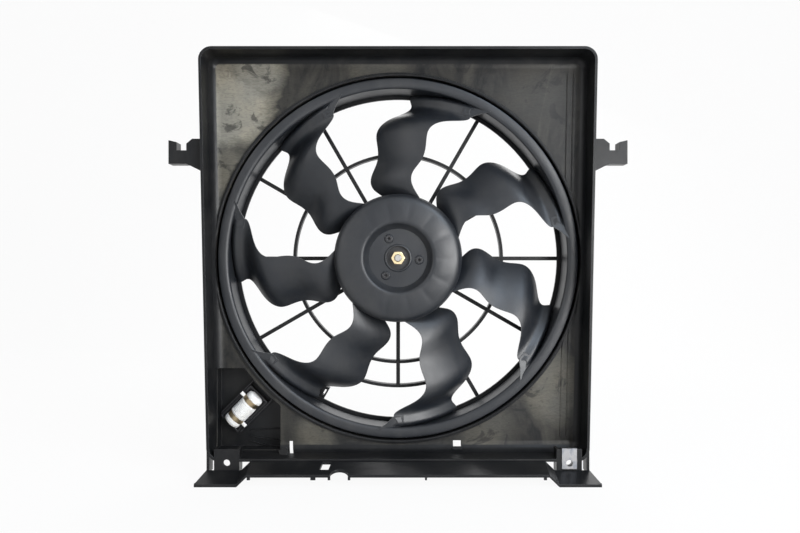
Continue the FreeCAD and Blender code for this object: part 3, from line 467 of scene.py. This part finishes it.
BLADES = 7
FIRST_BLADE = 103.2  # degrees
TIP_THICKNESS = 1.8

# The front corner of a blade's tip: degrees past the blade's own direction, radius, depth.
TIP_CORNER = ((5.7, 185.0, 31.0), (8.9, 176.5, 32.9), (11.3, 168.8, 34.6), (14.5, 169.0, 37.3),
              (14.5, 176.0, 36.1), (13.5, 181.0, 37.2), (9.5, 183.3, 34.0), (7.0, 184.6, 32.0))


def hub_dome():
    """The dome with its shallow creases, and the sloping wall of the recess."""
    build = bmesh.new()
    steps = CREASES * CREASE_STEPS
    rows = []
    for step in range(steps):
        angle = 2 * math.pi * step / steps + FIRST_CREASE
        aside = abs(step % CREASE_STEPS / (CREASE_STEPS / 2) - 1)  # 0 on a crease, 1 midway
        dent = CREASE_DENT * (1 - aside) ** 3
        rows.append([build.verts.new(round_fan(radius, angle, depth + dent * share))
                     for radius, depth, share in DOME])
    skin(build, rows + rows[:1], closed=True)
    piece("hub_dome", "rotor", "fan_plastic", build)


def on_floor(profile):
    """A profile of radius and depth past the hub's floor, with the depth from the rim instead."""
    return [(radius, HUB_FLOOR + deeper) for radius, deeper in profile]


def hub_collar():
    """The low collar round the nut."""
    build = bmesh.new()
    collar = ((12.6, 0.5), (12.6, -0.7), (13.1, -1.2), (14.0, -1.2), (14.6, -0.7), (15.2, 0.3))
    hoop(build, on_floor(collar), facing(0, 0))
    piece("hub_collar", "rotor", "fan_plastic", build)


def round_each_screw(name, slot, profile, steps):
    """The same small turned form at each of the hub's screws."""
    build = bmesh.new()
    for number in range(SCREWS):
        angle = math.radians(FIRST_SCREW + 360 / SCREWS * number)
        middle = facing(SCREW_CIRCLE * math.cos(angle), SCREW_CIRCLE * math.sin(angle))
        hoop(build, on_floor(profile), middle, steps)
    piece(name, "rotor", slot, build)


def hub_screw_seats():
    """A raised well round each screw, the screw's tip, and the dark dish between them."""
    well = ((3.3, 0.3), (3.4, -0.9), (3.9, -1.3), (4.4, -1.1), (5.2, 0.3))
    tip = ((0.05, -0.5), (1.3, -0.5), (1.7, -0.2), (1.7, 0.3), (0.05, 0.3))
    dish = ((1.7, 0.2), (1.7, -0.02), (2.8, -0.1), (3.4, -0.6), (3.4, 0.2))
    round_each_screw("hub_screw_wells", "fan_plastic", well, steps=40)
    round_each_screw("hub_screw_tips", "zinc_steel", tip, steps=24)
    round_each_screw("hub_screw_dishes", "black_steel", dish, steps=40)


def band_rolled_edge():
    """The rolled front edge of the fan's band."""
    build = bmesh.new()
    roll = ((192.4, 34.5), (192.6, 33.2), (192.0, 32.2), (190.5, 31.8), (185.2, 31.8), (183.2, 32.2),
            (181.8, 33.2), (181.2, 34.8), (181.4, 36.4), (182.5, 37.5), (184.0, 34.5))
    hoop(build, roll, facing(0, 0), steps=240)
    piece("band_rolled_edge", "rotor", "fan_plastic", build)


def blade_tip_corners():
    """The sharp front corners that run from the blades onto the band's edge."""
    build = bmesh.new()
    for blade in range(BLADES):
        start = FIRST_BLADE + blade * 360 / BLADES
        layers = []
        for back in (0, TIP_THICKNESS):
            points = [round_fan(radius, math.radians(start + turn), depth + back)
                      for turn, radius, depth in TIP_CORNER]
            middle = build.verts.new(sum(points, Vector()) / len(points))
            loop = [build.verts.new(point) for point in points]
            for first, second in zip(loop, loop[1:] + loop[:1]):
                build.faces.new((first, second, middle))
            layers.append(loop)
        skin(build, layers, closed=True)
    piece("blade_tip_corners", "rotor", "fan_plastic", build)


# ---------------------------------------------------------------- the resistor's small forms

RESISTOR_MIDDLE = (-167.0, 42.4, -163.5)
WINDINGS = 9
WINDING_PITCH = 1.8
LUG_PLACE = 11.3  # of the lugs, along the resistor from its middle
RIM_SIDE = 14.6   # the carrier's rim and the lugs' ends, to each side of the resistor's axis
RIM_END = 29.5    # the rim's upper end, along the resistor from its middle


def resistor_frame():
    """Middle of the resistor, with Z along its axis, up to the right, and X towards the radiator."""
    along = Vector((1, 0, 1)).normalized()
    side = along.cross(FRONT)
    turn = Matrix((FRONT, side, along)).transposed().to_4x4()
    return Matrix.Translation(Vector(RESISTOR_MIDDLE) * MM) @ turn


def at_resistor(height, across, along):
    """A point given in the resistor's own frame."""
    return resistor_frame() @ (Vector((height, across, along)) * MM)


def straight_bead(build, points, width, height, sink):
    """A bead through points, facing the radiator."""
    bead(build, [(point, FRONT) for point in points], width, height, sink)


def resistor_windings():
    """Windings that show through the cement, with a roll past each end of them."""
    build = bmesh.new()
    winding = ((9.0, -0.85), (9.7, -0.5), (9.95, 0), (9.7, 0.5), (9.0, 0.85))
    roll = ((8.0, 7.6), (9.4, 7.7), (9.7, 8.2), (9.4, 8.7), (8.0, 8.8))
    first = -(WINDINGS - 1) / 2 * WINDING_PITCH
    for number in range(WINDINGS):
        middle = first + number * WINDING_PITCH
        hoop(build, [(radius, middle + along) for radius, along in winding], resistor_frame(), steps=72)
    for end in (-1, 1):
        hoop(build, [(radius, end * along) for radius, along in roll], resistor_frame(), steps=72)
    piece("resistor_windings", "root", "ceramic_white", build)


def resistor_lugs():
    """A white lug out to each side, at opposite ends."""
    build = bmesh.new()
    for side in (-1, 1):
        start = at_resistor(1.2, side * RIM_SIDE * 0.66, -side * LUG_PLACE)
        end = at_resistor(1.2, side * RIM_SIDE, -side * LUG_PLACE)
        straight_bead(build, (start, (start + end) / 2, end), 3.8, 0.9, sink=1.6)
    piece("resistor_lugs", "root", "ceramic_white", build)


def carrier_rim():
    """The rim that runs round the carrier's sides and upper end."""
    build = bmesh.new()
    height = -2.0
    for side in (1, -1):
        points = [at_resistor(height, side * RIM_SIDE, along) for along in (-20, 0, 20, RIM_END)]
        straight_bead(build, points, 2.0, 1.0, sink=7.5)
    points = [at_resistor(height, across, RIM_END) for across in (-RIM_SIDE, 0, RIM_SIDE)]
    straight_bead(build, points, 2.0, 1.0, sink=7.5)
    piece("carrier_rim", "root", "carrier_plastic", build)


# ---------------------------------------------------------------- the shroud's small forms

TRAY_FOOT = 196.7    # half the tray's width at its lower edge
TRAY_SPREAD = 9.0    # what each side gains up to the upper edge
TRAY_LOW = -209.8    # height of the lower edge
TRAY_HEIGHT = 427.2


def orifice_lip_bead():
    """The bead round the lip of the fan's opening."""
    build = bmesh.new()
    lip = ((194.9, 31.4), (195.2, 30.4), (196.0, 30.1), (196.9, 30.4), (197.4, 31.4))
    hoop(build, lip, facing(0, 0), steps=240)
    piece("orifice_lip_bead", "root", "shroud_plastic", build)


def wall_ridges():
    """Two thin ridges on the panel beside the right wall, broken where the fan's opening is near."""
    tray = surface_of("shroud_tray")
    build = bmesh.new()
    for inset in (17.5, 24.0):
        for low, high in ((-190, -72), (72, 198)):
            places = [(TRAY_FOOT + TRAY_SPREAD * (z - TRAY_LOW) / TRAY_HEIGHT - inset, z)
                      for z in even_steps(low, high, 24)]
            bead(build, lay_on(tray, places), 1.3, 0.7)
    piece("wall_ridges", "root", "shroud_plastic", build)


def ejector_mark():
    """The ring that an ejector pin leaves in the panel's upper left corner."""
    build = bmesh.new()
    hoop(build, ((2.6, 33.4), (2.9, 32.6), (3.5, 32.5), (3.9, 33.4)), facing(-183.6, 198), steps=36)
    piece("ejector_mark", "root", "shroud_plastic", build)


def pocket_gussets():
    """Three low ribs in the lower part of the resistor's pocket: x and z of both ends of each."""
    tray = surface_of("shroud_tray")
    build = bmesh.new()
    for left, start, right, end in ((-161, -188, -126, -186), (-161, -194, -126, -200),
                                    (-162, -199, -142, -205)):
        places = list(zip(even_steps(left, right, 8), even_steps(start, end, 8)))
        bead(build, lay_on(tray, places), 1.6, 1.6)
    piece("pocket_gussets", "root", "shroud_plastic", build)


def slot_flap():
    """The flap that hangs over the harness slot."""
    build = bmesh.new()
    slab(build, ((-126.5, 20, -202.5), (-117.5, 20, -199.0), (-115.0, 14, -205.5), (-122.5, 14, -209.5)),
         depth=1.8)
    piece("slot_flap", "root", "shroud_plastic", build)


def window_ledge():
    """The small ledge over the window in the lower wall."""
    build = bmesh.new()
    slab(build, ((57.6, 27, -203.2), (68.4, 27, -203.2), (68.4, 29, -200.8), (57.6, 29, -200.8)), depth=3.0)
    piece("window_ledge", "root", "shroud_plastic", build)


def foot_tips():
    """The tapered tip under the front edge of each foot."""
    build = bmesh.new()
    tip, front, top, bottom = TRAY_FOOT + 6.5, -24.4, -225.4, -228.6
    for side in (-1, 1):
        slab(build, ((side * (tip - 3.2), front, top), (side * tip, front, top),
                     (side * (tip - 0.4), front, bottom), (side * (tip - 2.8), front, bottom)), depth=3.0)
    piece("foot_tips", "root", "shroud_plastic", build)


# ---------------------------------------------------------------- studio, in metres

def studio_sweep():
    """A white floor that sweeps up behind the object."""
    low = cad_box[0][2]
    half_width, front, back, height, radius, steps = 3.0, -3.0, 1.6, 2.0, 0.5, 24
    profile = [(front, 0.0), (back - radius, 0.0)]
    for step in range(1, steps):
        angle = math.pi / 2 * step / steps
        profile.append((back - radius + radius * math.sin(angle), radius - radius * math.cos(angle)))
    profile += [(back, radius), (back, height)]
    build = bmesh.new()
    skin(build, [[build.verts.new((x, y, low + z)) for x in (-half_width, half_width)]
                 for y, z in profile])
    floor = link_mesh("studio_sweep", build)
    floor.data.materials.append(white_floor())


def white_floor():
    """White to the camera and in reflections, but it still takes the object's shadow."""
    material = bpy.data.materials.new("white_floor")
    material.use_nodes = True
    tree = material.node_tree
    tree.nodes.clear()
    diffuse = tree.nodes.new("ShaderNodeBsdfDiffuse")
    diffuse.inputs["Color"].default_value = (0.92, 0.92, 0.92, 1)
    glow = tree.nodes.new("ShaderNodeEmission")
    share = tree.nodes.new("ShaderNodeMath")
    share.operation = "MULTIPLY"
    share.inputs[1].default_value = 0.93  # the rest shows the shadow
    tree.links.new(seen_directly(tree), share.inputs[0])
    out = tree.nodes.new("ShaderNodeOutputMaterial")
    tree.links.new(blend(tree, share.outputs[0], diffuse, glow), out.inputs["Surface"])
    return material


def blend(tree, factor, first, second):
    """One shader mixed into another."""
    mix = tree.nodes.new("ShaderNodeMixShader")
    tree.links.new(factor, mix.inputs[0])
    tree.links.new(first.outputs[0], mix.inputs[1])
    tree.links.new(second.outputs[0], mix.inputs[2])
    return mix.outputs[0]


def seen_directly(tree):
    """1 for camera, glossy and transmission rays."""
    path = tree.nodes.new("ShaderNodeLightPath")
    total = path.outputs["Is Camera Ray"]
    for name in ("Is Glossy Ray", "Is Transmission Ray"):
        add = tree.nodes.new("ShaderNodeMath")
        add.operation = "MAXIMUM"
        tree.links.new(total, add.inputs[0])
        tree.links.new(path.outputs[name], add.inputs[1])
        total = add.outputs[0]
    return total


def white_background(tree, strength):
    """White light from all round, at the given strength."""
    made = tree.nodes.new("ShaderNodeBackground")
    made.inputs["Color"].default_value = (1, 1, 1, 1)
    made.inputs["Strength"].default_value = strength
    return made


def world():
    """White to the camera and in reflections, and a soft fill on everything else."""
    made = bpy.data.worlds.new("studio")
    made.use_nodes = True
    tree = made.node_tree
    tree.nodes.clear()
    fill = white_background(tree, 0.3)
    white = white_background(tree, 1.0)
    out = tree.nodes.new("ShaderNodeOutputWorld")
    tree.links.new(blend(tree, seen_directly(tree), fill, white), out.inputs["Surface"])
    bpy.context.scene.world = made


def area_light(name, place, size, power, colour=(1, 1, 1)):
    """A lamp of the given width and height, aimed at the fan's hub."""
    data = bpy.data.lights.new(name, "AREA")
    data.color = colour
    data.shape = "RECTANGLE"
    data.size, data.size_y = size
    data.energy = power
    lamp = bpy.data.objects.new(name, data)
    lamp.location = place
    hub = Vector((0, 0.03, 0))
    lamp.rotation_euler = (hub - Vector(place)).to_track_quat("-Z", "Y").to_euler()
    bpy.context.scene.collection.objects.link(lamp)


def lights():
    """The main light stands to the right, a blue one above it, a faint fill left and one behind."""
    area_light("right_box", (0.86, -1.1, 0.0), size=(0.8, 0.9), power=26)
    area_light("sky_box", (0.75, -0.9, 0.95), size=(0.7, 0.6), power=8, colour=(0.68, 0.82, 1.0))
    area_light("left_fill", (-1.2, -1.1, 0.5), size=(0.5, 0.7), power=2)
    area_light("back_box", (0.3, 1.4, 0.9), size=(1.2, 0.9), power=14)


def camera():
    """Square on to the radiator side, so close that the inner faces of the tray's walls show."""
    data = bpy.data.cameras.new("camera")
    data.sensor_width = 36.0
    data.lens = 35.0
    data.clip_start = 0.01
    made = bpy.data.objects.new("camera", data)
    made.location = (0.0021, -0.799, -0.0091)
    made.rotation_euler = (math.pi / 2, 0, 0)
    bpy.context.scene.collection.objects.link(made)
    bpy.context.scene.camera = made


make_looks()
dress_nodes()
hub_dome()
hub_collar()
hub_screw_seats()
band_rolled_edge()
orifice_lip_bead()
blade_tip_corners()
resistor_windings()
resistor_lugs()
carrier_rim()
wall_ridges()
ejector_mark()
pocket_gussets()
slot_flap()
window_ledge()
foot_tips()
studio_sweep()
world()
lights()
camera()
bpy.context.scene.view_settings.view_transform = "Standard"
